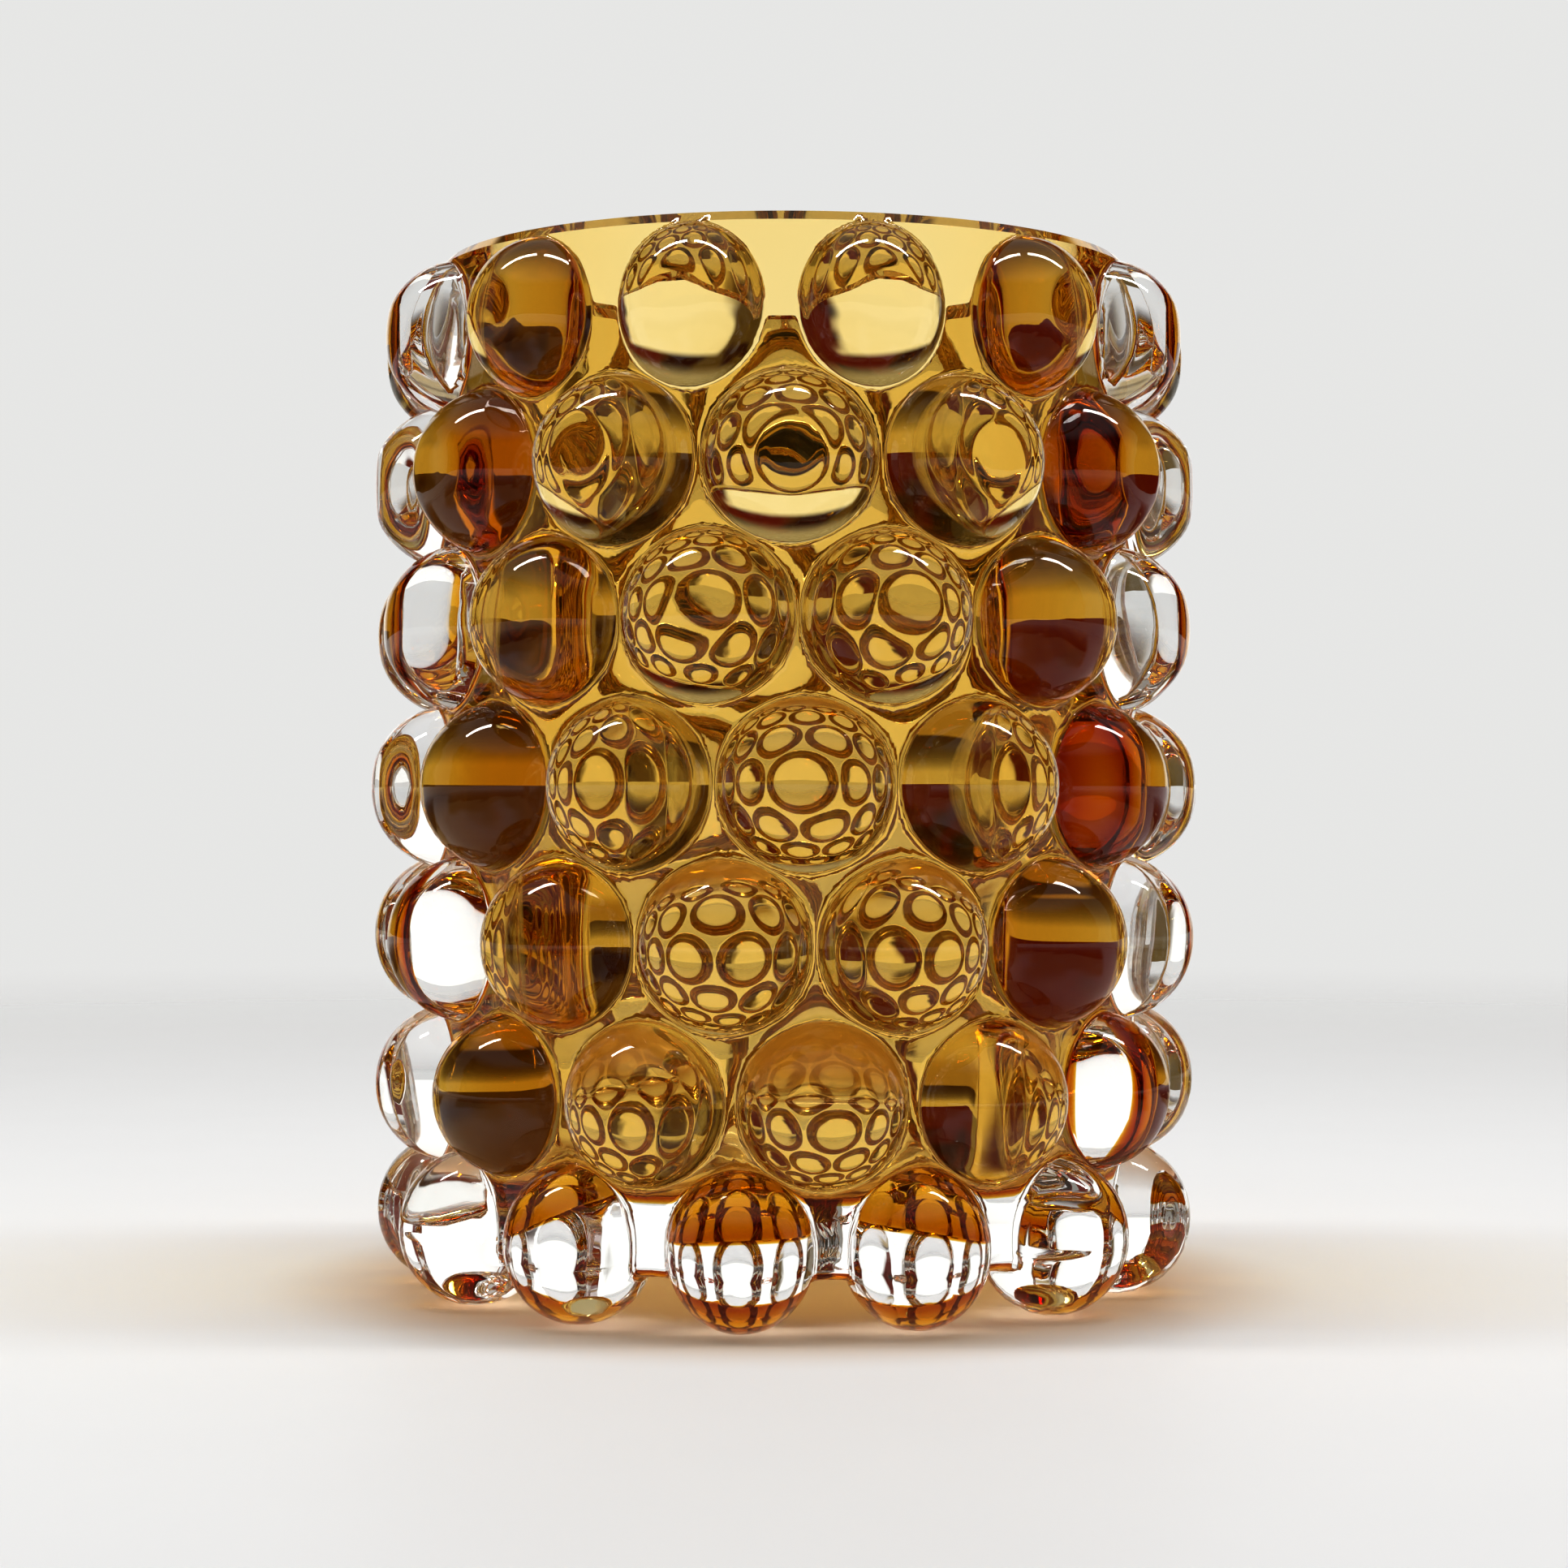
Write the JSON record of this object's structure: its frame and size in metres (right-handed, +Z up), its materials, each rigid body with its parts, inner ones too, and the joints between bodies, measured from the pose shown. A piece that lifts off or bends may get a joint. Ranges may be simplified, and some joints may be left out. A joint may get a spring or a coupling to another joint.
{
  "type": "hobnail glass vase",
  "caption": "Straight-sided round vase: an amber glass well cased in thick clear glass, covered in staggered rows of clear glass knobs.",
  "frame": {"origin": "on the surface the vase stands on, under its axis", "axes": "+Z up along the vase's axis, out of its mouth; -Y is the front, between two knobs of the bottom row and nearer to the left one of them"},
  "size_m": [0.1191, 0.1191, 0.146],
  "materials": {
    "amber_glass": "polished transparent amber glass, pale honey where thin and red-brown where thick",
    "clear_glass": "fire-polished clear glass"
  },
  "bodies": {
    "root": {"amber_well": "amber_glass", "clear_casing": "clear_glass", "knob_row_1": "clear_glass", "knob_row_2": "clear_glass", "knob_row_3": "clear_glass", "knob_row_4": "clear_glass", "knob_row_5": "clear_glass", "knob_row_6": "clear_glass", "knob_row_7": "clear_glass"}
  },
  "joints": []
}
